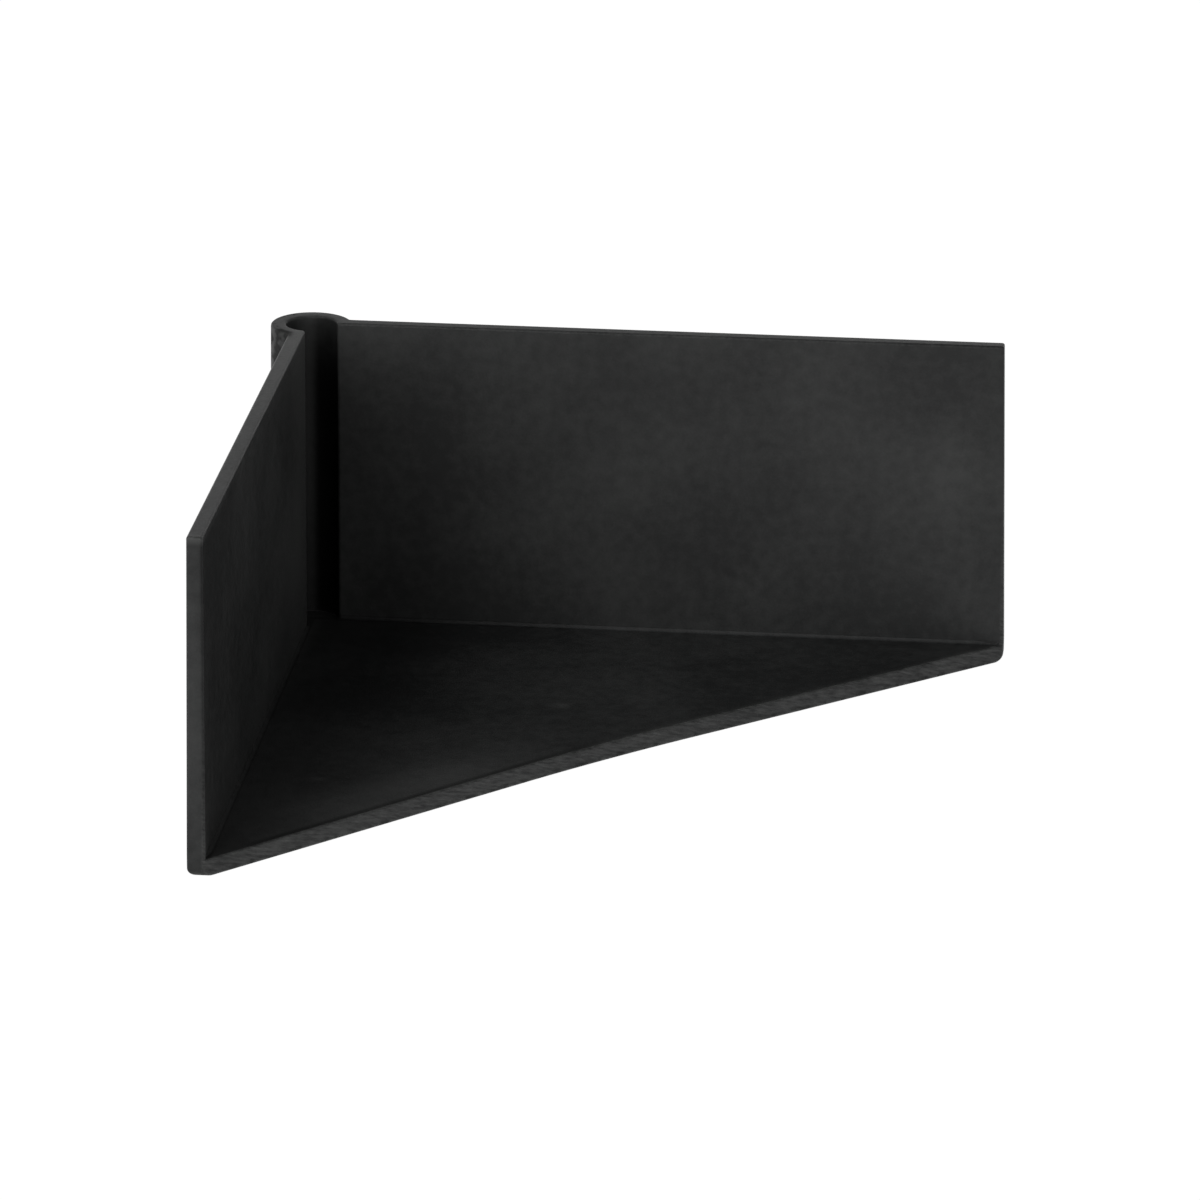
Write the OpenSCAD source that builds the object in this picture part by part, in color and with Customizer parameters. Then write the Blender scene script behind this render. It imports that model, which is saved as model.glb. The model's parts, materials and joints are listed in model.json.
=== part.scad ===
// Fence post corner cap: a moulded plate with two walls at right angles and a
// slotted round channel where they meet. It covers one corner of a square post.
// Millimetres. The origin is the corner where the inner faces of the two walls
// meet, on the outer face of the plate. +X runs along the right wall, -Y along
// the left wall, and +Z from the plate to the rims of the walls.

/* [Overall] */
// Length of each wall's inner face, from the corner to the free end
leg_length = 100; // [60:1:200]
// Height from the plate's outer face to the rims
height = 47; // [20:1:120]

/* [Thicknesses] */
// Thickness of the plate
plate_thickness = 2.5; // [1.5:0.1:5]
// Thickness of the walls and of the channel at their foot
wall_thickness = 2.5; // [1.5:0.1:5]
// How much thinner the walls and the channel are at the rim
wall_taper = 0.3; // [0:0.05:0.8]

/* [Corner channel] */
// Diameter of the round bore in the channel
bore_diameter = 7.2; // [4:0.1:20]
// How far the bore's axis stands inside each wall's inner face
bore_inset = 0.4; // [0:0.1:1.5]

/* [Edges] */
// How far each free end leans back at the rim
end_draft = 0.9; // [0:0.1:2]
// Radius of the fillet between the plate and each wall, inside
foot_fillet = 0.5; // [0.3:0.1:2]
// Radius of the round on the outer bottom edge and the free ends' bottom edges
bottom_round = 1.2; // [0.3:0.1:1.4]

/* [Front edge] */
// Angle at which each half of the front edge leans in, degrees
front_lean = 2.5; // [0.5:0.1:4]
// Radius of the curve that joins the two halves
front_radius = 350; // [50:10:500]
// Straight steps in that curve
front_steps = 12; // [4:1:40]

/* [Hidden] */
$fn = 96;
eps = 0.01;

// Height of the foot: the plate and the fillet that rises from it
foot_height = plate_thickness + foot_fillet;
// Height of the walls above the foot
wall_height = height - foot_height;
bore_radius = bore_diameter / 2;
// Outside radius of the channel at its foot
channel_radius = bore_radius + wall_thickness;
// Where the channel's short stubs end and the walls begin
seam_margin = 0.1;
seam = bore_inset + channel_radius + seam_margin;
// Half the straight distance between the walls' free ends
front_half = leg_length * sqrt(2) / 2;
// Half the length of the front edge's curve, along that straight line
curve_half = front_radius * sin(front_lean);
// How far the deepest point of the front edge lies inside that line
front_depth = (front_half - curve_half) * tan(front_lean)
    + front_radius * (1 - cos(front_lean));

// A point on the front edge: along from the left wall's end, and inward
function front_point(along, inward) =
    [along - inward, along + inward] / sqrt(2) - [0, leg_length];

// Points of the front edge's curve, from the left wall to the right
function front_curve() = [
    for (i = [0 : front_steps])
        let (a = front_lean * (2 * i / front_steps - 1))
        front_point(front_half + front_radius * sin(a),
                    front_depth - front_radius * (1 - cos(a)))
];

// Repeats the right wall's side of the cap as the left wall's side
module on_left() {
    mirror([1, 1, 0]) children();
}

// Runs a section along the right wall: its x points outwards, its y up
module along_right_wall(from, to) {
    translate([from, 0, 0]) rotate([90, 0, 90]) linear_extrude(to - from) children();
}

// What a round of radius r takes off a square corner at [0, 0]
module corner_waste(r) {
    difference() {
        translate([-r, -eps]) square([r + eps, r + eps]);
        translate([-r, r]) circle(r);
    }
}

// What the round takes off the bottom edge of the right wall's free end
module end_waste() {
    translate([leg_length, wall_thickness + eps, 0]) rotate([90, 0, 0])
        linear_extrude(3 * wall_thickness) corner_waste(bottom_round);
}

// Section of a wall's foot, with its rounded outer edge
module foot_section() {
    difference() {
        square([wall_thickness, foot_height]);
        translate([wall_thickness, 0]) corner_waste(bottom_round);
    }
}

// Section of the fillet that stands on the plate against a wall
module fillet_section() {
    difference() {
        translate([-foot_fillet, plate_thickness - eps]) square([foot_fillet, foot_fillet + eps]);
        translate([-foot_fillet, foot_height]) circle(foot_fillet);
    }
}

// Section of a wall above the foot, thinner at the rim
module wall_section() {
    polygon([
        [0, foot_height],
        [wall_thickness, foot_height],
        [wall_thickness - wall_taper, height],
        [0, height]
    ]);
}

// The space that both inner faces enclose, above level z
module inner_space(z) {
    translate([0, -2 * leg_length, z]) cube([2 * leg_length, 2 * leg_length, 2 * height]);
}

// The channel's bore, above level z
module bore(z) {
    translate([bore_inset, -bore_inset, z]) cylinder(h = 2 * height, r = bore_radius);
}

// Outline between the walls' inner faces and the dipped front edge
module floor_outline() {
    polygon(concat([[0, 0], [0, -leg_length]], front_curve(), [[leg_length, 0]]));
}

// Triangular floor, with a fillet along each wall that ends at the front edge
module floor_plate() {
    linear_extrude(plate_thickness) floor_outline();
    intersection() {
        linear_extrude(foot_height) floor_outline();
        union() {
            along_right_wall(0, leg_length) fillet_section();
            on_left() along_right_wall(0, leg_length) fillet_section();
        }
    }
}

// Round foot of the channel, with the same rounded outer edge as the walls
module channel_foot() {
    difference() {
        translate([bore_inset, -bore_inset, 0]) rotate_extrude() difference() {
            square([channel_radius, foot_height]);
            translate([channel_radius, 0]) corner_waste(bottom_round);
        }
        inner_space(plate_thickness);
    }
}

// Plate with the low foot of both walls and of the channel
module base_plate() {
    color([0.10, 0.10, 0.11]) difference() {
        union() {
            floor_plate();
            along_right_wall(0, leg_length) foot_section();
            on_left() along_right_wall(0, leg_length) foot_section();
            channel_foot();
        }
        bore(plate_thickness);
        end_waste();
        on_left() end_waste();
    }
}

// One wall above its foot, from the seam to the leaning free end
module wall() {
    intersection() {
        along_right_wall(seam, leg_length) wall_section();
        rotate([90, 0, 0]) linear_extrude(4 * wall_thickness, center = true) polygon([
            [seam, foot_height],
            [leg_length, foot_height],
            [leg_length - end_draft, height],
            [seam, height]
        ]);
    }
}

module right_wall() {
    color([0.16, 0.16, 0.17]) wall();
}

module left_wall() {
    color([0.13, 0.13, 0.14]) on_left() wall();
}

// Round channel above the foot, open to the inside, with a stub to each wall
module corner_channel() {
    color([0.20, 0.20, 0.21]) difference() {
        union() {
            translate([bore_inset, -bore_inset, foot_height]) cylinder(
                h = wall_height,
                r1 = channel_radius,
                r2 = channel_radius - wall_taper
            );
            along_right_wall(0, seam) wall_section();
            on_left() along_right_wall(0, seam) wall_section();
        }
        inner_space(0);
        bore(0);
    }
}

base_plate();
right_wall();
left_wall();
corner_channel();
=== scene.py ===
"""Corner cap for a square fence post: the visible pieces, their finish and a plain studio.

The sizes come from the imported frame. Lengths are metres in the frame's own axes: +X runs
along the right wall, -Y along the left wall and +Z from the plate to the rims.
"""

import json
import math

import bmesh
import bpy
from mathutils import Matrix, Vector


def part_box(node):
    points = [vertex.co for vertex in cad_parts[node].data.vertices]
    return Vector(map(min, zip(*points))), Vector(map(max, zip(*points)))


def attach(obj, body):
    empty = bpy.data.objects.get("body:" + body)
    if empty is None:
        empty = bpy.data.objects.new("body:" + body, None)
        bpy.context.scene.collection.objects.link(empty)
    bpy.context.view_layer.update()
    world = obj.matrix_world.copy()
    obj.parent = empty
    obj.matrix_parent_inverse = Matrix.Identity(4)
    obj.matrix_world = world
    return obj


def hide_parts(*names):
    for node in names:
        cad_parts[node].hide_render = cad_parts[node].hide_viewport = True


bl_info = {
    "name": "Fence post corner cap",
    "version": (1, 0, 0),
    "blender": (4, 5, 0),
    "location": "3D View > Sidebar > Corner Cap",
    "description": "Builds the moulded corner cap, its satin black plastic and a studio",
    "category": "Object",
}

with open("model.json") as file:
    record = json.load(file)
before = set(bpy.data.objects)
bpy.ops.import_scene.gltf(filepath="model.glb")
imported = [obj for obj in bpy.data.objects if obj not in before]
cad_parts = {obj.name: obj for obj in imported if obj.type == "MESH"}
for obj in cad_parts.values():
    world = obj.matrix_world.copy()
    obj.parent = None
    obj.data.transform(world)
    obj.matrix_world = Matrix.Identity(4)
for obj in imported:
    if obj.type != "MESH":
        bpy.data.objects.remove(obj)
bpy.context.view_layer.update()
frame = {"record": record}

BODY = "root"
MM = 0.001

WALL_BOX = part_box("right_wall")
MOUNTS = {mount["name"]: mount for mount in frame["record"]["mounts"]}
BORE = MOUNTS["channel_bore"]

# The left side of the cap is the right side, seen in the diagonal through the corner
ACROSS = Matrix(((0, -1, 0, 0), (-1, 0, 0, 0), (0, 0, 1, 0), (0, 0, 0, 1)))

# Each half of the channel's ring ends on that diagonal
RING_END = math.radians(135)

# Steps in half of each small rounded edge, and in the larger curves
ROUND_STEPS = 3
SLOT_STEPS = 8
RING_STEPS = 32
FILLET_STEPS = 8
FADE_STEPS = 8
BOTTOM_STEPS = 8
FRONT_STEPS = 24
# Cells along and up the flat stretches
LONG_CELLS = 40
TALL_CELLS = 16

# Points this close together are one point
SAME_POINT = 1e-7


# ---------------------------------------------------------------- settings


def length(name, description, default, **more):
    """A size in metres, shown in the scene's own length unit."""
    return bpy.props.FloatProperty(
        name=name, description=description, default=default,
        min=0.0, unit="LENGTH", subtype="DISTANCE", precision=5, **more
    )


def share(name, description, default, high=1.0):
    """A plain number from nothing to a highest value."""
    return bpy.props.FloatProperty(
        name=name, description=description, default=default,
        min=0.0, max=high, subtype="FACTOR"
    )


def power(name, description, default):
    """The power of a light, in watts."""
    return bpy.props.FloatProperty(
        name=name, description=description, default=default, min=0.0, unit="POWER"
    )


def colour(name, description, default):
    """A colour without alpha, as linear light."""
    return bpy.props.FloatVectorProperty(
        name=name, description=description, default=default,
        subtype="COLOR", size=3, min=0.0, max=1.0
    )


class CornerCapSizes(bpy.types.PropertyGroup):
    """Sizes of the moulding."""

    leg_length: length("Leg length", "Length of each wall's inner face", WALL_BOX[1].x)
    height: length("Height", "From the plate's outer face to the rims", WALL_BOX[1].z)
    foot_height: length("Foot height", "Level where the walls stand on the base", WALL_BOX[0].z)
    plate_thickness: length(
        "Plate thickness", "Thickness of the plate", MOUNTS["plate_inner_face"]["pos_m"][2]
    )
    wall_thickness: length("Wall thickness", "Thickness at the foot", WALL_BOX[1].y)
    wall_taper: length("Wall taper", "How much thinner the walls are at the rim", 0.3 * MM)
    end_draft: length("End draft", "How far each free end leans back at the rim", 0.9 * MM)
    seam: length("Seam", "Distance from the corner to the walls' near ends", WALL_BOX[0].x)
    bore_radius: length("Bore radius", "Radius of the channel", BORE["dims"]["r_mm"] * MM)
    bore_inset: length("Bore inset", "The bore's axis, inside each inner face", BORE["pos_m"][0])
    slot_round: length("Slot round", "Radius of the slot's two upright edges", 0.5 * MM)
    outer_fillet: length("Outer fillet", "Radius between channel and wall, outside", 0.4 * MM)
    edge_round: length("Edge round", "Radius of the rims and free ends", 0.35 * MM)
    foot_fillet: length(
        "Foot fillet", "Radius between plate and walls",
        WALL_BOX[0].z - MOUNTS["plate_inner_face"]["pos_m"][2]
    )
    bore_fillet: length("Bore fillet", "Radius between plate and bore", 0.12 * MM)
    bottom_round: length("Bottom round", "Radius of the outer bottom edge", 1.2 * MM)
    front_lean: bpy.props.FloatProperty(
        name="Front lean", description="Angle at which each half of the front edge leans in",
        default=math.radians(2.5), min=0.0, max=math.radians(4.0), subtype="ANGLE"
    )
    front_radius: length("Front radius", "Radius that joins the front edge's halves", 350 * MM)
    toe_length: length("Toe length", "How far the foot fillet takes to fade out", 3.2 * MM)
    toe_bare: length("Bare toe", "Length of the wall's toe without a fillet", 0.8 * MM)


class CornerCapFinish(bpy.types.PropertyGroup):
    """Colours and surface of the plastic, with its painted light and shade."""

    plastic: colour("Plastic", "Colour of the moulded plastic", (0.0085, 0.0089, 0.0089))
    # The pale colour of dust and scuffs, which also paints the highlights and lighter patches
    dust: colour("Dust", "Colour of the fine dust and of light scuffs", (0.055, 0.056, 0.055))
    # The dark colour of the painted shade in the bore, the fillets and behind the front edge, and
    # of dark spots
    painted_shade: colour("Grime", "Colour of the dull grime in the corners", (0.0012, 0.0012, 0.0012))
    roughness: share("Roughness", "Mean roughness of the moulded faces", 0.5)
    gloss_level: share("Gloss level", "Strength of the reflection seen straight on", 0.17)
    grain_size: length("Grain size", "Size of the fine moulded grain", 0.35 * MM)
    grain_depth: length("Grain depth", "Depth of the fine moulded grain", 0.013 * MM)
    # Mottle also scales the painted light and shade patches
    mottle: share("Mottle", "How much dust and sheen change from patch to patch", 0.5)
    # Also scales the painted light on the front edge, behind it and along the small rounds
    wear_and_painted_light: share("Wear", "Strength of rubbed edges and of knocks on the channel", 0.5)
    # Scales the painted shade and the dark spots
    painted_shade_strength: share("Dirt", "Strength of the grime in the bore and the corners", 0.9)


class CornerCapStage(bpy.types.PropertyGroup):
    """Camera, light and floor."""

    camera_place: bpy.props.FloatVectorProperty(
        name="Camera place", description="Where the camera stands",
        default=(0.14527, -1.01342, 0.35081), subtype="TRANSLATION", unit="LENGTH"
    )
    camera_azimuth: bpy.props.FloatProperty(
        name="Azimuth", description="Turn of the view round the vertical",
        default=math.radians(5.823), subtype="ANGLE"
    )
    camera_elevation: bpy.props.FloatProperty(
        name="Elevation", description="Height of the view above the horizon",
        default=math.radians(18.654), subtype="ANGLE"
    )
    camera_roll: bpy.props.FloatProperty(
        name="Roll", description="Tilt of the camera about its own view",
        default=math.radians(0.36), subtype="ANGLE"
    )
    lens: bpy.props.FloatProperty(
        name="Lens", description="Focal length on a 36 mm sensor, in millimetres",
        default=224.41, min=10.0, unit="CAMERA"
    )
    floor: colour("Floor", "Colour of the floor", (0.02, 0.02, 0.02))
    floor_glow: share("Floor glow", "Light that the floor gives off", 1.0, 4.0)
    horizon: share("Horizon", "Brightness of the room just above the floor", 1.35, 4.0)
    ceiling: share("Ceiling", "Brightness of the room overhead", 0.27, 4.0)
    key: power("Key light", "Power of the soft light high up on the left", 13.5)
    fill: power("Fill light", "Power of the soft light low at the front left", 12.6)


def sizes():
    """The sizes of this scene's cap."""
    return bpy.context.scene.corner_cap_sizes


def finish_settings():
    """The finish of this scene's cap."""
    return bpy.context.scene.corner_cap_finish


# ---------------------------------------------------------------- node trees


class Value:
    """A number in a node tree. Python's operators on it add Math nodes."""

    def __init__(self, graph, socket):
        self.graph = graph
        self.socket = socket

    def math(self, operation, *others):
        """A Math node with this value first."""
        node = self.graph.add("ShaderNodeMath", {"operation": operation}, [self, *others])
        return Value(self.graph, node.outputs[0])

    def swapped(self, operation, other):
        """A Math node with this value second."""
        node = self.graph.add("ShaderNodeMath", {"operation": operation}, [other, self])
        return Value(self.graph, node.outputs[0])

    def __add__(self, other):
        return self.math("ADD", other)

    def __sub__(self, other):
        return self.math("SUBTRACT", other)

    def __mul__(self, other):
        return self.math("MULTIPLY", other)

    def __truediv__(self, other):
        return self.math("DIVIDE", other)

    def __rsub__(self, other):
        return self.swapped("SUBTRACT", other)

    def __rtruediv__(self, other):
        return self.swapped("DIVIDE", other)

    def __abs__(self):
        return self.math("ABSOLUTE")

    __radd__ = __add__
    __rmul__ = __mul__

    def least(self, other):
        return self.math("MINIMUM", other)

    def most(self, other):
        return self.math("MAXIMUM", other)

    def within(self, low, high):
        return self.most(low).least(high)

    def above(self, level):
        return self.math("GREATER_THAN", level)

    def root(self):
        return self.math("SQRT")

    def sine(self):
        return self.math("SINE")

    def cosine(self):
        return self.math("COSINE")

    def tangent(self):
        return self.math("TANGENT")

    def angle_of_sine(self):
        return self.math("ARCSINE")

    def ramp(self, low, high, to_low=0.0, to_high=1.0):
        """This value eased from one range to another, and held at its ends."""
        node = self.graph.add(
            "ShaderNodeMapRange",
            {"interpolation_type": "SMOOTHSTEP"},
            {"Value": self, "From Min": low, "From Max": high,
             "To Min": to_low, "To Max": to_high},
        )
        return Value(self.graph, node.outputs[0])

    def fade(self, low, high, left=0.0):
        """1 up to the first level, eased down to what is left beyond the second."""
        return self.ramp(low, high, 1.0, left)


class Graph:
    """A node tree that is filled one node at a time."""

    def __init__(self, tree):
        self.tree = tree
        tree.nodes.clear()

    def add(self, kind, settings=None, inputs=None):
        """Adds a node: its type, its settings, and the values or links of its sockets."""
        node = self.tree.nodes.new(kind)
        for name, value in (settings or {}).items():
            setattr(node, name, value)
        pairs = inputs.items() if isinstance(inputs, dict) else enumerate(inputs or [])
        for key, value in pairs:
            if isinstance(value, Value):
                value = value.socket
            if isinstance(value, bpy.types.NodeSocket):
                self.tree.links.new(value, node.inputs[key])
            else:
                node.inputs[key].default_value = value
        return node

    def value(self, kind, settings=None, inputs=None, output=0):
        """Adds a node and gives one of its outputs as a number."""
        return Value(self, self.add(kind, settings, inputs).outputs[output])


# ---------------------------------------------------------------- shapes by rule


def shape_tree(name, floats, counts):
    """A Geometry Nodes tree with named sizes and counts, and the values of those inputs."""
    tree = bpy.data.node_groups.new(name, "GeometryNodeTree")
    graph = Graph(tree)
    ask = tree.interface.new_socket
    ask(name="Geometry", in_out="OUTPUT", socket_type="NodeSocketGeometry")
    ids = {}
    for label in floats:
        ids[label] = ask(name=label, in_out="INPUT", socket_type="NodeSocketFloat").identifier
    for label in counts:
        ids[label] = ask(name=label, in_out="INPUT", socket_type="NodeSocketInt").identifier
    ids["Material"] = ask(
        name="Material", in_out="INPUT", socket_type="NodeSocketMaterial"
    ).identifier
    entry = graph.add("NodeGroupInput")
    given = {label: Value(graph, entry.outputs[label]) for label in ids}
    return graph, given, ids


def block(graph, cells):
    """A solid block of unit cells, and each point's place in it, counted in cells."""
    corners = [count + 1 for count in cells]
    size = graph.add("ShaderNodeCombineXYZ", inputs=list(cells))
    cube = graph.add("GeometryNodeMeshCube", inputs=[size.outputs[0], *corners])
    place = graph.add("GeometryNodeInputPosition")
    parts = graph.add("ShaderNodeSeparateXYZ", inputs=[place.outputs[0]])
    steps = [Value(graph, parts.outputs[i]) + cells[i] * 0.5 for i in range(3)]
    return cube.outputs["Mesh"], steps


def rounded_reach(step, steps, radius):
    """How far a point stands out past the core of a rounded edge, evenly by angle."""
    return (step.most(0.0) / steps * (math.pi / 4)).tangent() * radius


def rounded(gaps):
    """Scales square gaps from the core of an edge or corner onto its round."""
    widest = abs(gaps[0])
    for gap in gaps[1:]:
        widest = widest.most(abs(gap))
    square = gaps[0] * gaps[0]
    for gap in gaps[1:]:
        square = square + gap * gap
    scale = widest / square.root().most(1e-12)
    return [gap * scale for gap in gaps]


def close_tree(graph, mesh, place, material):
    """Moves the block's points to their places, welds it and sets its material."""
    vector = graph.add("ShaderNodeCombineXYZ", inputs=place)
    moved = graph.add(
        "GeometryNodeSetPosition", inputs={"Geometry": mesh, "Position": vector.outputs[0]}
    )
    welded = graph.add(
        "GeometryNodeMergeByDistance",
        inputs={"Geometry": moved.outputs[0], "Distance": SAME_POINT},
    )
    real = graph.add("GeometryNodeRealizeInstances", inputs=[welded.outputs[0]])
    painted = graph.add(
        "GeometryNodeSetMaterial", inputs={"Geometry": real.outputs[0], "Material": material}
    )
    graph.add("NodeGroupOutput", inputs=[painted.outputs[0]])


def wall_profile(given, across, up):
    """Place through the thickness and up the height, with both rims rounded."""
    radius = given["Edge round"]
    thickness = given["Thickness"]
    steps = given["Round steps"]
    tall = given["Tall cells"]
    foot = given["Foot height"]
    core_top = given["Height"] - radius
    inner_gap = rounded_reach(steps - across, steps, radius)
    outer_gap = rounded_reach(across - steps - 1, steps, radius)
    rim_gap = rounded_reach(up - tall, steps, radius)
    across_gap = outer_gap - inner_gap
    beyond = (across - steps).within(0.0, 1.0)
    core_across = radius + (thickness - radius * 2.0) * beyond
    core_up = foot + (core_top - foot) * (up / tall).least(1.0)
    return core_across, across_gap, core_up, rim_gap


def wall_tree():
    """A straight wall from the seam to its free end."""
    graph, given, ids = shape_tree(
        "Wall by rule",
        ["Length", "Seam", "Foot height", "Height", "Thickness", "Taper", "End draft",
         "Edge round"],
        ["Long cells", "Tall cells", "Round steps"],
    )
    radius = given["Edge round"]
    steps = given["Round steps"]
    long = given["Long cells"]
    mesh, (along, across, up) = block(
        graph, [long + steps, steps * 2 + 1, given["Tall cells"] + steps]
    )
    core_across, across_gap, core_up, rim_gap = wall_profile(given, across, up)
    core_end = given["Length"] - radius
    core_along = given["Seam"] + (core_end - given["Seam"]) * (along / long).least(1.0)
    end_gap = rounded_reach(along - long, steps, radius)
    end_gap, across_gap, rim_gap = rounded([end_gap, across_gap, rim_gap])
    z = core_up + rim_gap
    rise = (z - given["Foot height"]) / (given["Height"] - given["Foot height"])
    outward = core_across + across_gap
    outer = outward.above(given["Thickness"] * 0.5)
    y = outward - given["Taper"] * rise * outer
    x = core_along + end_gap
    lean = given["End draft"] * rise / (given["Length"] - given["Seam"])
    x = x - (x - given["Seam"]) * lean
    close_tree(graph, mesh, [x, y, z], given["Material"])
    return graph.tree, ids


def half_path(step, counts, offset, line, fillet, ring):
    """A point on half of an outline: a straight line, a small round, then the ring.

    line is the seam's x, fillet is (x, offset radius) of the small round, and ring is
    (offset radius, angle at which the ring starts).
    """
    line_cells, slot_cells, ring_cells = counts
    fillet_x, fillet_radius = fillet
    ring_radius, ring_start = ring
    run = (step / line_cells).within(0.0, 1.0)
    turn = ((step - line_cells) / slot_cells).within(0.0, 1.0)
    sweep = ((step - line_cells - slot_cells) / ring_cells).within(0.0, 1.0)
    turn_angle = (math.pi / 2 - ring_start) * turn * -1.0 - math.pi / 2
    sweep_angle = ring_start + (RING_END - ring_start) * sweep
    x = line + (fillet_x - line) * run
    x = x + fillet_radius * turn_angle.cosine()
    x = x + ring_radius * (sweep_angle.cosine() - ring_start.cosine())
    y = offset + fillet_radius * (turn_angle.sine() + 1.0)
    y = y + ring_radius * (sweep_angle.sine() - ring_start.sine())
    return x, y


def channel_tree():
    """The slotted round channel, swept from one seam round to the other."""
    graph, given, ids = shape_tree(
        "Channel by rule",
        ["Seam", "Foot height", "Height", "Thickness", "Taper", "Bore radius", "Bore inset",
         "Slot round", "Outer fillet", "Edge round"],
        ["Line cells", "Slot cells", "Ring cells", "Tall cells", "Round steps"],
    )
    steps = given["Round steps"]
    counts = [given["Line cells"], given["Slot cells"], given["Ring cells"]]
    half = counts[0] + counts[1] + counts[2]
    mesh, (along, across, up) = block(
        graph, [half * 2, steps * 2 + 1, given["Tall cells"] + steps]
    )
    core_across, across_gap, core_up, rim_gap = wall_profile(given, across, up)
    across_gap, rim_gap = rounded([across_gap, rim_gap])
    z = core_up + rim_gap
    rise = (z - given["Foot height"]) / (given["Height"] - given["Foot height"])
    outward = core_across + across_gap
    outer = outward.above(given["Thickness"] * 0.5)
    inset = given["Bore inset"]
    bore = given["Bore radius"]
    step = half - abs(along - half)

    slot = given["Slot round"]
    slot_x = inset + ((bore + slot) * (bore + slot) - (slot + inset) * (slot + inset)).root()
    slot_angle = ((slot + inset) / (bore + slot)).angle_of_sine()
    inner_x, inner_y = half_path(
        step, counts, outward, given["Seam"],
        (slot_x, slot - outward), (bore + outward, slot_angle),
    )

    thick = given["Thickness"] - given["Taper"] * rise
    depth = given["Thickness"] - outward
    fillet = given["Outer fillet"]
    reach = bore + thick + fillet
    level = thick + fillet + inset
    fillet_x = inset + (reach * reach - level * level).root()
    outer_x, outer_y = half_path(
        step, counts, thick - depth, given["Seam"],
        (fillet_x, fillet + depth), (bore + thick - depth, (level / reach).angle_of_sine()),
    )

    x = inner_x + (outer_x - inner_x) * outer
    y = inner_y + (outer_y - inner_y) * outer
    left = along.above(half)
    x_there = x - (x + y) * left
    y_there = y - (x + y) * left
    close_tree(graph, mesh, [x_there, y_there, z], given["Material"])
    return graph.tree, ids


def grow(name, made, values, material):
    """Runs a shape tree once and gives its result as a plain mesh object."""
    tree, ids = made
    carrier = bpy.data.objects.new(name + "_rule", bpy.data.meshes.new(name + "_rule"))
    bpy.context.scene.collection.objects.link(carrier)
    modifier = carrier.modifiers.new("Rule", "NODES")
    modifier.node_group = tree
    for label, value in values.items():
        modifier[ids[label]] = value
    modifier[ids["Material"]] = material
    result = plain_mesh(carrier, name)
    bpy.data.objects.remove(carrier)
    piece = bpy.data.objects.new(name, result)
    bpy.context.scene.collection.objects.link(piece)
    return piece


def plain_mesh(holder, name):
    """The mesh that an object shows with its modifiers, as data of its own."""
    bpy.context.view_layer.update()
    shown = holder.evaluated_get(bpy.context.evaluated_depsgraph_get())
    result = bpy.data.meshes.new_from_object(shown)
    result.name = name
    return result


# ---------------------------------------------------------------- the base


class Welder:
    """Collects faces given by their corner points and joins those that meet."""

    def __init__(self):
        self.mesh = bmesh.new()
        self.known = {}

    def corner(self, point):
        key = tuple(round(value / SAME_POINT) for value in point)
        if key not in self.known:
            self.known[key] = self.mesh.verts.new(point)
        return self.known[key]

    def face(self, points):
        corners = []
        for point in points:
            vertex = self.corner(point)
            if vertex not in corners:
                corners.append(vertex)
        if len(corners) > 2:
            self.mesh.faces.new(corners)

    def strip(self, first, second):
        """Faces between two rows of points of the same length."""
        for i in range(len(first) - 1):
            self.face([first[i], first[i + 1], second[i + 1], second[i]])


def arc(centre, radius, start, end, steps):
    """Points on an arc in plan, after its first."""
    points = []
    for i in range(1, steps + 1):
        angle = start + (end - start) * i / steps
        points.append((centre[0] + radius * math.cos(angle),
                       centre[1] + radius * math.sin(angle)))
    return points


def ring_half(size, base_radius, level, small, offset, turn):
    """Right half of an outline from its small round to the middle of the ring.

    small is the round's radius, offset how far this outline lies into the material.
    """
    reach = base_radius + small
    rise = level + small + size.bore_inset
    centre_x = size.bore_inset + math.sqrt(reach * reach - rise * rise)
    start = math.asin(rise / reach)
    points = [(centre_x, level + turn * offset)]
    points += arc((centre_x, level + small), small - turn * offset,
                  -math.pi / 2, start - math.pi, SLOT_STEPS)
    points += arc((size.bore_inset, -size.bore_inset), base_radius + turn * offset,
                  start, RING_END, RING_STEPS)
    return points


def both_halves(half):
    """A half outline with its mirror image, running from the right to the left."""
    mirrored = [(-y, -x) for x, y in reversed(half[:-1])]
    return half + mirrored


def inner_outline(size, offset):
    """Inner faces, slot edges and bore, offset into the material."""
    return ring_half(size, size.bore_radius, 0.0, size.slot_round, offset, 1)


def outer_outline(size, offset):
    """Outer faces and the channel's outside, offset into the material."""
    thick = size.wall_thickness
    return ring_half(size, size.bore_radius + thick, thick, size.outer_fillet, offset, -1)


def at_level(points, z):
    """Points in plan, lifted to one level."""
    return [(x, y, z) for x, y in points]


def front_shape(size):
    """Half the straight line between the toes, half the front's curve, and its depth."""
    half = size.leg_length * math.sqrt(2) / 2
    curve = size.front_radius * math.sin(size.front_lean)
    depth = (half - curve) * math.tan(size.front_lean)
    depth += size.front_radius * (1 - math.cos(size.front_lean))
    return half, curve, depth


def front_outline(size):
    """The front edge from the right wall's toe to the left wall's, slightly hollow."""
    half, _, depth = front_shape(size)
    points = []
    for i in range(FRONT_STEPS, -1, -1):
        angle = size.front_lean * (2 * i / FRONT_STEPS - 1)
        along = half + size.front_radius * math.sin(angle)
        inward = depth - size.front_radius * (1 - math.cos(angle))
        points.append(((along - inward) / math.sqrt(2),
                       (along + inward) / math.sqrt(2) - size.leg_length))
    return points


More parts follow.
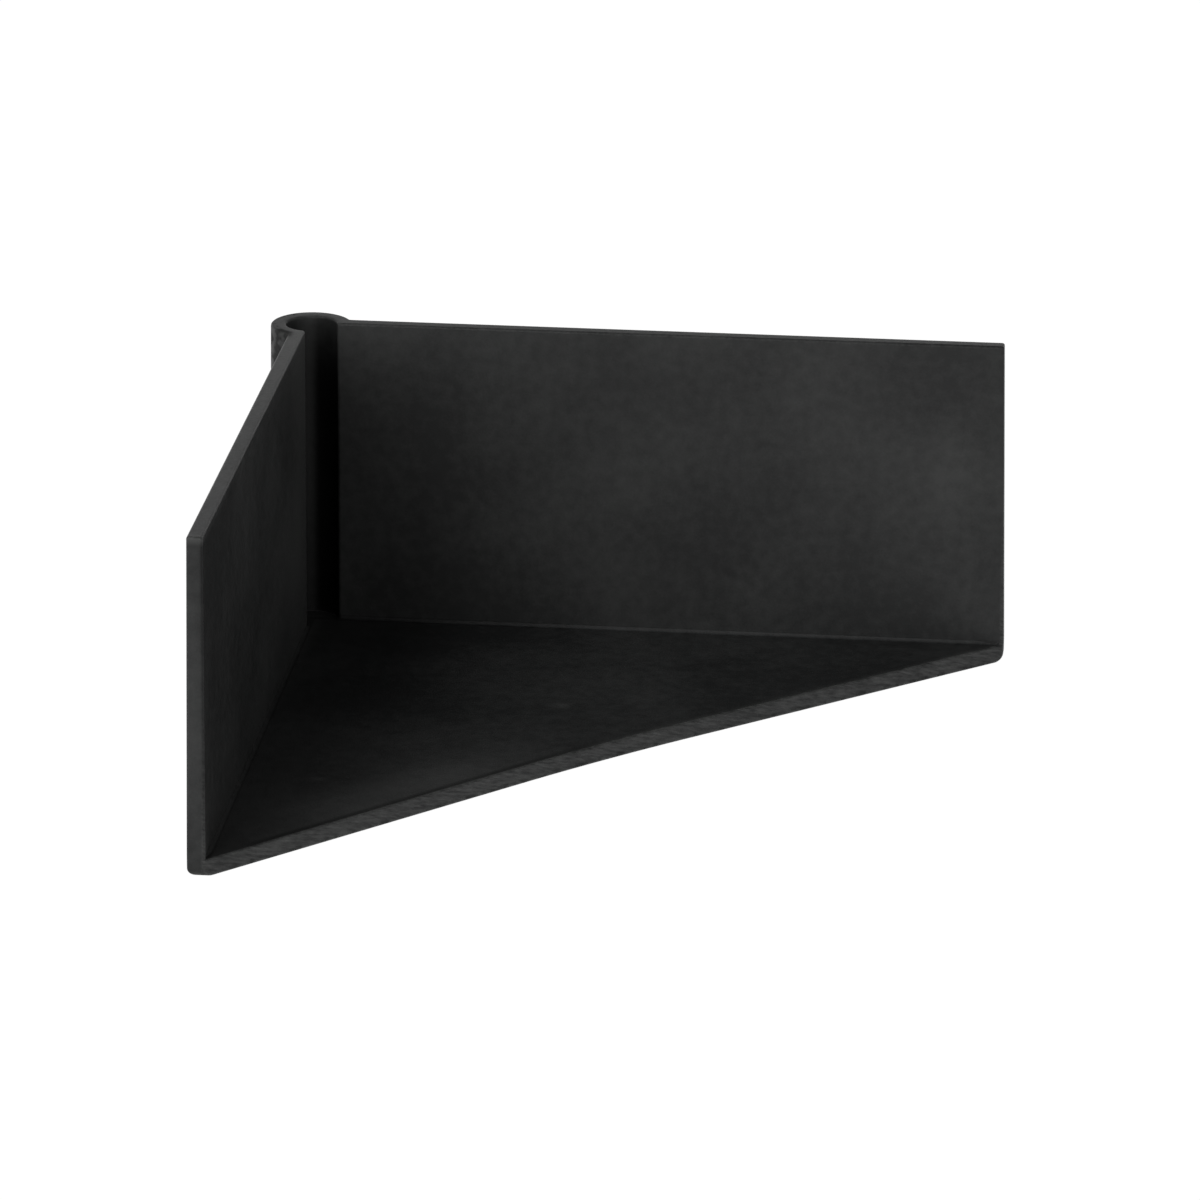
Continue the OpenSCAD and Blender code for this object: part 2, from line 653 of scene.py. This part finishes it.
def foot_rows(size):
    """Rows of points down the inner faces and their foot fillet, right to left."""
    end = size.leg_length
    bare = end - size.toe_bare
    stations = [(end, 0.0), (bare, 0.0)]
    for i in range(1, FADE_STEPS + 1):
        x = bare - size.toe_length * i / FADE_STEPS
        eased = math.sin(math.pi / 2 * i / FADE_STEPS) ** 2
        stations.append((x, size.foot_fillet * eased))
    rows = []
    for k in range(FILLET_STEPS + 1):
        angle = math.pi / 2 * k / FILLET_STEPS
        out = 1 - math.cos(angle)
        up = 1 - math.sin(angle)
        row = [(x, -radius * out, size.plate_thickness + radius * up)
               for x, radius in stations]
        outline = inner_outline(size, 0.0)
        for i in range(len(outline)):
            blend = min(max((i - 1) / SLOT_STEPS, 0.0), 1.0)
            eased = blend * blend * (3 - 2 * blend)
            radius = size.foot_fillet + (size.bore_fillet - size.foot_fillet) * eased
            x, y = inner_outline(size, -radius * out)[i]
            row.append((x, y, size.plate_thickness + radius * up))
        mirrored = [(-y, -x, z) for x, y, z in reversed(row[:-1])]
        rows.append(row + mirrored)
    return rows


def toe_points(size, front, offset):
    """Where an end face set back by an offset meets the front edge, at either toe."""
    run, rise = size.leg_length - front[0][0], front[0][1]
    right = (size.leg_length - offset, rise / run * offset)
    return right, (-right[1], -right[0])


def base_body(size, top):
    """The base as a closed body of flat and curved faces, up to a level above its foot."""
    weld = Welder()
    levels = []
    for k in range(BOTTOM_STEPS + 1):
        angle = math.pi / 2 * k / BOTTOM_STEPS
        levels.append((size.bottom_round * (1 - math.sin(angle)),
                       size.bottom_round * (1 - math.cos(angle))))
    levels.append((0.0, top))
    front = front_outline(size)
    rings, toes = [], []
    for offset, z in levels:
        corner = (size.leg_length - offset, size.wall_thickness - offset)
        rings.append(at_level(both_halves([corner] + outer_outline(size, offset)), z))
        toes.append(at_level(toe_points(size, front, offset), z))
    for lower, upper in zip(rings, rings[1:]):
        weld.strip(lower, upper)

    low_front = at_level(front, 0.0)
    weld.face(rings[0] + [toes[0][1]] + low_front[::-1] + [toes[0][0]])

    rows = foot_rows(size)
    for upper, lower in zip(rows, rows[1:]):
        weld.strip(upper, lower)
    crown = [(x, y, top) for x, y, z in rows[0]]
    weld.strip(crown, rows[0])
    weld.face(rings[-1] + crown[::-1])

    high_front = at_level(front, size.plate_thickness)
    weld.face(rows[-1] + high_front[::-1])
    weld.strip(high_front, low_front)

    for side in (0, 1):
        end = -side
        ring_ends = [ring[end] for ring in rings]
        toe_ends = [toe[side] for toe in toes[:-1]]
        weld.strip(ring_ends[:-1], toe_ends)
        weld.face([toe_ends[-1], ring_ends[-2], ring_ends[-1], crown[end], rows[0][end]])
        weld.face([rows[-1][end], high_front[end], low_front[end]] + toe_ends)
    bmesh.ops.recalc_face_normals(weld.mesh, faces=weld.mesh.faces)
    return weld.mesh


def weight_sharp_edges(mesh, top):
    """Gives every outward edge below the top a bevel weight, less where it is blunt."""
    blunt, square = math.radians(15), math.radians(45)
    near = 0.01 * MM
    layer = mesh.edges.layers.float.new("bevel_weight_edge")
    for edge in mesh.edges:
        at_top = all(abs(vertex.co.z - top) < near for vertex in edge.verts)
        angle = edge.calc_face_angle_signed(0.0)
        if not at_top and angle > blunt:
            edge[layer] = min((angle - blunt) / (square - blunt), 1.0)


def build_base(size, material):
    """The plate with the foot of the walls and channel, rounded and cut at the seam."""
    spare = 3 * MM  # cut off again at the seam, so that the seam's edges stay sharp
    top = size.foot_height + spare
    body = base_body(size, top)
    weight_sharp_edges(body, top)
    rough = bpy.data.meshes.new("base_body")
    body.to_mesh(rough)
    body.free()
    carrier = bpy.data.objects.new("base_body", rough)
    bpy.context.scene.collection.objects.link(carrier)
    bevel = carrier.modifiers.new("Edges", "BEVEL")
    bevel.limit_method = "WEIGHT"
    bevel.offset_type = "OFFSET"
    bevel.width = size.edge_round
    bevel.segments = 2 * ROUND_STEPS
    bevel.use_clamp_overlap = False
    result = plain_mesh(carrier, "base_plate_moulding")
    bpy.data.objects.remove(carrier)

    cut = bmesh.new()
    cut.from_mesh(result)
    everything = cut.verts[:] + cut.edges[:] + cut.faces[:]
    sliced = bmesh.ops.bisect_plane(
        cut, geom=everything, dist=1e-8, clear_outer=True,
        plane_co=(0, 0, size.foot_height), plane_no=(0, 0, 1)
    )
    rim = [item for item in sliced["geom_cut"] if isinstance(item, bmesh.types.BMEdge)]
    bmesh.ops.holes_fill(cut, edges=rim, sides=0)
    bmesh.ops.recalc_face_normals(cut, faces=cut.faces)
    cut.to_mesh(result)
    cut.free()
    result.materials.clear()
    result.materials.append(material)
    piece = bpy.data.objects.new("base_plate_moulding", result)
    bpy.context.scene.collection.objects.link(piece)
    return piece


# ---------------------------------------------------------------- finishing a piece


def smooth_faces(piece):
    """Shades curves smooth and keeps flat faces flat right up to their rounded edges."""
    mesh = piece.data
    sharp = math.radians(50)
    work = bmesh.new()
    work.from_mesh(mesh)
    bmesh.ops.dissolve_degenerate(work, edges=work.edges, dist=SAME_POINT)
    bmesh.ops.recalc_face_normals(work, faces=work.faces)
    for face in work.faces:
        face.smooth = True
    for edge in work.edges:
        edge.smooth = edge.calc_face_angle(0.0) < sharp
    work.to_mesh(mesh)
    work.free()
    weigh = piece.modifiers.new("Flat faces", "WEIGHTED_NORMAL")
    weigh.keep_sharp = True
    weigh.weight = 100
    piece.data = plain_mesh(piece, piece.name)
    piece.modifiers.clear()
    bpy.data.meshes.remove(mesh)


def mark_edges(piece):
    """Stores on each face whether it is a narrow strip of a small rounded edge."""
    mesh = piece.data
    narrow = 0.13 * MM
    marks = mesh.attributes.new("rounded_edge", "FLOAT", "FACE")
    for face in mesh.polygons:
        corners = [mesh.vertices[i].co for i in face.vertices]
        longest = max((a - b).length for a in corners for b in corners)
        marks.data[face.index].value = 1.0 if face.area < longest * narrow else 0.0


def hand_over(piece, *nodes):
    """Finishes a piece and ties it to the frame."""
    smooth_faces(piece)
    mark_edges(piece)
    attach(piece, BODY)
    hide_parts(*nodes)


# ---------------------------------------------------------------- material


# Soft patches of painted light and shade, lighter or darker: centre and reach in millimetres, and
# amount
PAINTED_LIGHT_AND_SHADE_PATCHES = [
    ((92, 0, 26), (5, 6, 15), 0.24),
    ((73, 0, 38), (12, 6, 18), 0.12),
    ((47, 0, 42), (14, 6, 15), -0.18),
    ((94, 0, 7), (28, 6, 22), -0.2),
    ((64, 0, 8), (14, 6, 14), -0.08),
    ((14, 0, 24), (18, 6, 26), -0.1),
    ((0, -4, 22), (3, 30, 45), 0.6),
    ((0, -24, 24), (3, 34, 50), 0.2),
    ((0, -92, 30), (3, 40, 40), -0.2),
    ((62, -14, 2.5), (26, 16, 1), -0.16),
    ((14, -40, 2.5), (22, 22, 1), -0.22),
    ((0, -7, 44), (3, 12, 14), 0.25),
    ((-1.2, -8, 47), (3, 36, 1), 0.3),
    ((0, -60, 47), (1.6, 30, 1), -0.3),
    ((-1.2, -100, 24), (2.4, 1.6, 60), 0.22),
    ((-1, -99, 46.8), (4, 1.6, 1.2), 0.9),
]
# Light scuffs on the plate: centre and reach in millimetres
SCUFFS = [((39.9, -33.5, 2.5), (2.6, 1.6, 1)), ((10.1, -67.3, 2.5), (1.8, 1.4, 1))]
# Sizes of the specks, patches, clouds and streaks in the finish
SPECK_SIZE = 1.6 * MM
PATCH_SIZE = 7 * MM
CLOUD_SIZE = 26 * MM
STREAK_SIZE = 0.35 * MM
# The streaks see distances along the front edge shrunk to this share, and slanted
STREAK_SQUEEZE = 0.16
STREAK_SLANT = 0.3
# Dust on an even face, from 0 to 1
EVEN_DUST = 0.12


def object_place(graph):
    """A point's place in the object's own axes, which are the frame's."""
    return graph.add("ShaderNodeTexCoord").outputs["Object"]


def noise(graph, place, size, detail=2.0, roughness=0.5, seed=0.0):
    """Smooth noise from 0 to 1 whose patches are about one size across."""
    scaled = graph.add(
        "ShaderNodeMapping",
        inputs={"Vector": place, "Scale": [1 / size] * 3,
                "Location": (seed, seed * 1.7, seed * 0.6)},
    )
    return graph.value(
        "ShaderNodeTexNoise",
        inputs={"Vector": scaled.outputs[0], "Scale": 1.0, "Detail": detail,
                "Roughness": roughness},
    )


def front_gap(x, y, size):
    """How far a point lies behind the front edge, and how far along that edge."""
    half, curve, depth = front_shape(size)
    lean = math.tan(size.front_lean)
    along = (x + y + size.leg_length) * math.sqrt(0.5)
    inward = (y - x + size.leg_length) * math.sqrt(0.5)
    middle = abs(along - half)
    near = middle.least(curve)
    sag = size.front_radius - (size.front_radius ** 2 - near * near).root()
    return inward - (depth - sag - (middle - near) * lean), along


class Surface:
    """Where a point of the surface lies, and the noises and masks that its finish follows."""

    def __init__(self, graph, size, look):
        self.graph = graph
        self.size = size
        self.look = look
        self.place = object_place(graph)
        parts = graph.add("ShaderNodeSeparateXYZ", inputs=[self.place])
        self.x, self.y, self.level = (Value(graph, parts.outputs[i]) for i in range(3))
        self.gap, self.along = front_gap(self.x, self.y, size)
        self.from_x = self.x - BORE["pos_m"][0]
        self.from_y = self.y - BORE["pos_m"][1]
        self.radius = (self.from_x * self.from_x + self.from_y * self.from_y).root()
        self.add_noises()
        self.add_masks()

    def add_noises(self):
        """Grain, specks, patches, their mix with clouds, and streaks along the front edge."""
        graph, place = self.graph, self.place
        self.grain = noise(graph, place, self.look.grain_size, detail=3.0, roughness=0.6)
        self.specks = noise(graph, place, SPECK_SIZE, seed=5.2)
        self.patches = noise(graph, place, PATCH_SIZE, detail=3.0, roughness=0.55, seed=3.1)
        clouds = noise(graph, place, CLOUD_SIZE, detail=1.0, seed=7.7)
        mixed = (clouds - 0.5) * 0.9 + (self.patches - 0.5) * 0.4 + (self.specks - 0.5) * 0.6
        self.cloudy = mixed * self.look.mottle
        slanted = self.level + self.along * STREAK_SLANT
        pulled = graph.add(
            "ShaderNodeCombineXYZ", inputs=[self.along * STREAK_SQUEEZE, slanted, self.gap]
        )
        self.streaks = noise(
            graph, pulled.outputs[0], STREAK_SIZE, detail=3.0, roughness=0.65, seed=1.3
        ) - 0.5

    def add_masks(self):
        """The front edge, the plate's inner face and the scuffed top of the channel."""
        size = self.size
        floor = size.plate_thickness
        self.front = self.gap.fade(0.15 * MM, 0.55 * MM)
        self.over_plate = self.level.ramp(floor - 0.15 * MM, floor)
        self.on_plate = self.over_plate * self.level.fade(floor + 0.1 * MM, floor + 0.3 * MM)
        outside = self.radius.ramp(size.bore_radius + 1.2 * MM, size.bore_radius + 1.6 * MM)
        outside = outside * self.radius.fade(6.5 * MM, 8 * MM)
        outside = outside * self.from_y.most(0.0 - self.from_x).ramp(1.6 * MM, 2.4 * MM)
        self.knocks = outside * self.level.ramp(size.height - 18 * MM, size.height - 5 * MM)

    def spot(self, centre, reach):
        """A soft patch, 1 at its centre, that fades out at its reach along each axis."""
        away = self.graph.add(
            "ShaderNodeVectorMath", {"operation": "SUBTRACT"},
            [self.place, [value * MM for value in centre]],
        )
        shrunk = self.graph.add(
            "ShaderNodeVectorMath", {"operation": "DIVIDE"},
            [away.outputs[0], [value * MM for value in reach]],
        )
        far = self.graph.value(
            "ShaderNodeVectorMath", {"operation": "LENGTH"}, [shrunk.outputs[0]], output="Value"
        )
        return far.fade(0.0, 1.0)


def blend_colour(graph, amount, first, second):
    """Mixes two colours by an amount."""
    a, b, result = 6, 7, 2  # the sockets that hold colours, among others of the same name
    node = graph.add(
        "ShaderNodeMix", {"data_type": "RGBA"}, {"Factor": amount, a: first, b: second}
    )
    return node.outputs[result]


def plastic_material():
    """Black polypropylene: fine moulded grain, mottle, dust, scuffs and paler edges, with painted
    highlights and painted shade.
    """
    known = bpy.data.materials.get("satin_black_plastic")
    if known:
        return known
    look = finish_settings()
    material = bpy.data.materials.new("satin_black_plastic")
    material.use_nodes = True
    graph = Graph(material.node_tree)
    at = Surface(graph, sizes(), look)
    # The pale tint is dust and scuffs, and also painted highlights and painted shade
    tint = blend_colour(graph, dust_and_painted_light(at), (*look.plastic, 1), (*look.dust, 1))
    roughness = look.roughness + at.cloudy * 0.3 + (at.grain - 0.5) * 0.2
    height = at.grain + at.specks * 1.5 + at.patches * 2.0 + at.streaks * at.front * 3.0
    bump = graph.add(
        "ShaderNodeBump",
        inputs={"Strength": 1.0, "Distance": look.grain_depth, "Height": height},
    )
    plastic = graph.add(
        "ShaderNodeBsdfPrincipled",
        inputs={"Base Color": tint, "Roughness": roughness.within(0.2, 0.9),
                "Specular IOR Level": look.gloss_level, "Normal": bump.outputs[0]},
    )
    # A dark dull layer for the painted shade and the dark spots
    painted_shade = graph.add(
        "ShaderNodeBsdfPrincipled",
        inputs={"Base Color": (*look.painted_shade, 1), "Roughness": 1.0, "Specular IOR Level": 0.0},
    )
    either = graph.add(
        "ShaderNodeMixShader", inputs=[painted_shade_amount(at), plastic.outputs[0], painted_shade.outputs[0]]
    )
    graph.add("ShaderNodeOutputMaterial", inputs={"Surface": either.outputs[0]})
    return material


def dust_and_painted_light(at):
    """How pale dust, scuffs, rubbing and painted light and shade make a point, from 0 to 1."""
    even = EVEN_DUST + at.cloudy + (at.grain - 0.5) * 0.2
    scuffs = sum(at.spot(*scuff) for scuff in SCUFFS) * (at.specks + at.grain) * 0.28
    painted_patches = painted_light_and_shade(at) * at.look.mottle
    return (even + painted_patches + scuffs + rubbing_and_painted_highlights(at) * at.look.wear_and_painted_light).within(0.0, 1.0)


def painted_light_and_shade(at):
    """Painted light and shade in broad lighter and darker patches, and a painted highlight in a
    band behind the front edge.
    """
    painted_front_highlight = at.along.ramp(10 * MM, 30 * MM) * at.along.fade(38 * MM, 68 * MM)
    painted_front_highlight = painted_front_highlight * at.gap.fade(4 * MM, 13 * MM) * at.on_plate
    return painted_front_highlight * 0.85 + sum(
        at.spot(centre, reach) * amount for centre, reach, amount in PAINTED_LIGHT_AND_SHADE_PATCHES
    )


def rubbing_and_painted_highlights(at):
    """Paler front edge, rims, channel top and small rounds: streaks and knocks, and painted
    highlights.
    """
    top = at.size.height
    front = at.front * (0.42 + at.streaks * 3.4)
    # Painted light on the lower round of the front edge, lifting its shade
    under = at.gap.fade(0.2 * MM, 0.6 * MM) * at.level.fade(0.1 * MM, 0.5 * MM)
    # Painted highlight on the plate just behind the front edge, on its right half
    behind = at.gap.fade(0.5 * MM, 1.4 * MM) * at.on_plate * at.along.ramp(50 * MM, 75 * MM)
    rim = at.level.ramp(top - 0.5 * MM, top - 0.3 * MM) * at.streaks
    knocks = at.knocks * (at.specks + at.patches - 1.0)
    edge = at.graph.value("ShaderNodeAttribute", {"attribute_name": "rounded_edge"}, output="Fac")
    # Painted highlight along every small rounded edge, in specks
    rounds = edge * at.specks
    return front + under * 0.6 + behind * 0.3 + rim * 1.6 + knocks * 2.0 + rounds * 0.12


def painted_shade_amount(at):
    """How much of the dark dull layer a point takes: the most of the painted shade, the dark
    spots and the blots.
    """
    blots = (at.specks * 0.7 + at.patches * 0.3).ramp(0.47, 0.6) * at.knocks * 0.7
    # Darker spots along the bottom of the front edge
    low = at.level.fade(0.3 * MM, 1.1 * MM) * at.gap.fade(0.3 * MM, 0.6 * MM)
    low = low * at.specks.ramp(0.45, 0.65) * 0.5
    most = painted_bore_shade(at).most(painted_front_shade(at)).most(painted_foot_shade(at)).most(low).most(blots)
    return (most * at.look.painted_shade_strength).within(0.0, 1.0)


def painted_bore_shade(at):
    """Painted shade in the bore, lighter near its rim and on its outermost side."""
    size = at.size
    bore, floor = size.bore_radius, size.plate_thickness
    inside = at.radius.fade(bore + 0.02 * MM, bore + 0.15 * MM)
    inside = inside * at.level.ramp(floor + 0.02 * MM, floor + 0.14 * MM)
    outward = (at.from_y - at.from_x) * math.sqrt(0.5)
    deep = outward.fade(bore - 1.6 * MM, bore - 0.5 * MM, 0.45)
    return inside * deep * at.level.fade(size.height - 9 * MM, size.height, 0.55)


def painted_front_shade(at):
    """Painted shade: a dark line on the plate behind its front edge, clear of the toes, faint on
    the right.
    """
    toe = 12 * MM
    span = at.size.leg_length * math.sqrt(2)
    clear_of_toes = at.along.ramp(toe / 3, toe) * at.along.fade(span - toe, span - toe / 3)
    line = at.gap.ramp(0.0, 0.5 * MM) * at.gap.fade(0.7 * MM, 1.8 * MM)
    line = line * at.on_plate * clear_of_toes * (0.2 + at.specks * 0.6)
    return line * at.along.fade(50 * MM, 80 * MM, 0.2)


def painted_foot_shade(at):
    """Painted shade in the two foot fillets, and on the left wall's inner face, most towards its
    free end.
    """
    size = at.size
    foot, fillet = size.foot_height, size.foot_fillet
    inside = at.over_plate * at.x.ramp(-1 * MM, 0.0) * at.y.fade(0.0, 1 * MM)
    in_foot = inside * at.level.fade(foot, foot + 0.2 * MM)
    left = abs(at.x).fade(fillet, fillet * 1.4) * in_foot * 0.35
    right = abs(at.y).fade(fillet, fillet * 1.4) * in_foot
    right = right * at.x.ramp(15 * MM, 50 * MM, 0.4, 0.12)
    painted_wall_shade = abs(at.x).fade(0.2 * MM, 0.6 * MM) * at.y.ramp(-95 * MM, -45 * MM, 0.35, 0.0)
    painted_wall_shade = painted_wall_shade * at.level.fade(size.height - 1.5 * MM, size.height - 0.5 * MM)
    painted_wall_shade = painted_wall_shade * at.level.ramp(size.plate_thickness, 16 * MM, 0.3, 1.0) * inside
    return (left.most(right) * at.gap.ramp(0.2 * MM, 0.8 * MM)).most(painted_wall_shade)


# ---------------------------------------------------------------- operators


class CORNERCAP_OT_base(bpy.types.Operator):
    """Builds the triangular plate with the foot of the walls and channel"""

    bl_idname = "corner_cap.base"
    bl_label = "Base plate"

    def execute(self, context):
        piece = build_base(sizes(), plastic_material())
        hand_over(piece, "base_plate")
        return {"FINISHED"}


class CORNERCAP_OT_walls(bpy.types.Operator):
    """Builds the two upright walls"""

    bl_idname = "corner_cap.walls"
    bl_label = "Walls"

    def execute(self, context):
        size = sizes()
        values = {
            "Length": size.leg_length, "Seam": size.seam, "Foot height": size.foot_height,
            "Height": size.height, "Thickness": size.wall_thickness,
            "Taper": size.wall_taper, "End draft": size.end_draft,
            "Edge round": size.edge_round,
            "Long cells": LONG_CELLS, "Tall cells": TALL_CELLS, "Round steps": ROUND_STEPS,
        }
        made = wall_tree()
        right = grow("right_wall_moulding", made, values, plastic_material())
        left = grow("left_wall_moulding", made, values, plastic_material())
        left.data.transform(ACROSS)
        hand_over(right, "right_wall")
        hand_over(left, "left_wall")
        return {"FINISHED"}


class CORNERCAP_OT_channel(bpy.types.Operator):
    """Builds the slotted round channel at the corner"""

    bl_idname = "corner_cap.channel"
    bl_label = "Corner channel"

    def execute(self, context):
        size = sizes()
        values = {
            "Seam": size.seam, "Foot height": size.foot_height, "Height": size.height,
            "Thickness": size.wall_thickness, "Taper": size.wall_taper,
            "Bore radius": size.bore_radius, "Bore inset": size.bore_inset,
            "Slot round": size.slot_round, "Outer fillet": size.outer_fillet,
            "Edge round": size.edge_round, "Line cells": 1, "Slot cells": SLOT_STEPS,
            "Ring cells": RING_STEPS, "Tall cells": TALL_CELLS, "Round steps": ROUND_STEPS,
        }
        piece = grow("corner_channel_moulding", channel_tree(), values, plastic_material())
        hand_over(piece, "corner_channel")
        return {"FINISHED"}


class CORNERCAP_OT_stage(bpy.types.Operator):
    """Sets the camera, the floor and the soft lights"""

    bl_idname = "corner_cap.stage"
    bl_label = "Stage"

    def execute(self, context):
        stage = context.scene.corner_cap_stage
        place_camera(stage)
        lay_floor(stage)
        light_room(stage)
        context.scene.view_settings.view_transform = "Standard"
        return {"FINISHED"}


def place_camera(stage):
    """The camera, aimed by its azimuth, elevation and roll."""
    data = bpy.data.cameras.new("camera")
    camera = bpy.data.objects.new("camera", data)
    bpy.context.scene.collection.objects.link(camera)
    data.sensor_width = 36
    data.lens = stage.lens
    data.clip_start = 0.01
    data.clip_end = 50
    turn, tilt = stage.camera_azimuth, stage.camera_elevation
    ahead = Vector((-math.sin(turn) * math.cos(tilt), math.cos(turn) * math.cos(tilt),
                    -math.sin(tilt)))
    right = Vector((math.cos(turn), math.sin(turn), 0))
    up = right.cross(ahead)
    rolled_right = right * math.cos(stage.camera_roll) + up * math.sin(stage.camera_roll)
    rolled_up = up * math.cos(stage.camera_roll) - right * math.sin(stage.camera_roll)
    aim = Matrix((rolled_right, rolled_up, -ahead)).transposed()
    camera.matrix_world = Matrix.Translation(stage.camera_place) @ aim.to_4x4()
    bpy.context.scene.camera = camera


def lay_floor(stage):
    """A wide floor that glows white from above and is clear from below."""
    half = 6.0
    gap = 0.05 * MM  # keeps the floor off the plate's underside
    mesh = bpy.data.meshes.new("floor")
    signs = [(-1, -1), (1, -1), (1, 1), (-1, 1)]
    corners = [(half * x, half * y, -gap) for x, y in signs]
    mesh.from_pydata(corners, [], [(0, 1, 2, 3)])
    floor = bpy.data.objects.new("floor", mesh)
    bpy.context.scene.collection.objects.link(floor)
    material = bpy.data.materials.new("pale_floor")
    material.use_nodes = True
    graph = Graph(material.node_tree)
    paper = graph.add(
        "ShaderNodeBsdfPrincipled",
        inputs={"Base Color": (*stage.floor, 1), "Roughness": 0.9, "Specular IOR Level": 0.0,
                "Emission Color": (1, 1, 1, 1), "Emission Strength": stage.floor_glow},
    )
    clear = graph.add("ShaderNodeBsdfTransparent")
    below = graph.add("ShaderNodeNewGeometry").outputs["Backfacing"]
    either = graph.add("ShaderNodeMixShader", inputs=[below, paper.outputs[0], clear.outputs[0]])
    graph.add("ShaderNodeOutputMaterial", inputs={"Surface": either.outputs[0]})
    mesh.materials.append(material)


def light_room(stage):
    """A room that darkens towards its ceiling, and two large soft lights."""
    world = bpy.data.worlds.new("room")
    world.use_nodes = True
    graph = Graph(world.node_tree)
    way = graph.add("ShaderNodeTexCoord").outputs["Generated"]
    height = graph.value("ShaderNodeSeparateXYZ", inputs=[way], output="Z")
    wall_top, ceiling_edge = 0.05, 0.6
    glow = height.ramp(wall_top, ceiling_edge, stage.horizon, stage.ceiling)
    sky = graph.add("ShaderNodeBackground", inputs={"Color": (1, 1, 1, 1), "Strength": glow})
    graph.add("ShaderNodeOutputWorld", inputs={"Surface": sky.outputs[0]})
    bpy.context.scene.world = world
    softbox("key_light", (-0.8, -0.6, 1.4), stage.key)
    softbox("fill_light", (-0.6, -1.5, 0.4), stage.fill)


def softbox(name, place, energy):
    """A square area light aimed at the cap's middle, unseen by the camera itself."""
    width = 0.8
    aim = (0.05, -0.03, 0.02)
    data = bpy.data.lights.new(name, "AREA")
    data.size = width
    data.energy = energy
    light = bpy.data.objects.new(name, data)
    bpy.context.scene.collection.objects.link(light)
    light.visible_camera = False
    light.location = place
    towards = Vector(aim) - Vector(place)
    light.rotation_euler = towards.to_track_quat("-Z", "Y").to_euler()


class CORNERCAP_PT_panel(bpy.types.Panel):
    """Lists the steps that build the cap"""

    bl_label = "Corner Cap"
    bl_space_type = "VIEW_3D"
    bl_region_type = "UI"
    bl_category = "Corner Cap"

    def draw(self, context):
        for step in STEPS:
            self.layout.operator(step.bl_idname)
        for name in SETTINGS:
            group = getattr(context.scene, name)
            box = self.layout.box()
            for field in group.bl_rna.properties:
                if field.identifier not in ("rna_type", "name"):
                    box.prop(group, field.identifier)


STEPS = [CORNERCAP_OT_base, CORNERCAP_OT_walls, CORNERCAP_OT_channel, CORNERCAP_OT_stage]
SETTINGS = {
    "corner_cap_sizes": CornerCapSizes,
    "corner_cap_finish": CornerCapFinish,
    "corner_cap_stage": CornerCapStage,
}


def register():
    for kind in [*SETTINGS.values(), *STEPS, CORNERCAP_PT_panel]:
        bpy.utils.register_class(kind)
    for name, kind in SETTINGS.items():
        setattr(bpy.types.Scene, name, bpy.props.PointerProperty(type=kind))


def unregister():
    for name in SETTINGS:
        delattr(bpy.types.Scene, name)
    for kind in reversed([*SETTINGS.values(), *STEPS, CORNERCAP_PT_panel]):
        bpy.utils.unregister_class(kind)


def main():
    register()
    bpy.ops.corner_cap.base()
    bpy.ops.corner_cap.walls()
    bpy.ops.corner_cap.channel()
    bpy.ops.corner_cap.stage()


if __name__ == "__main__":
    main()
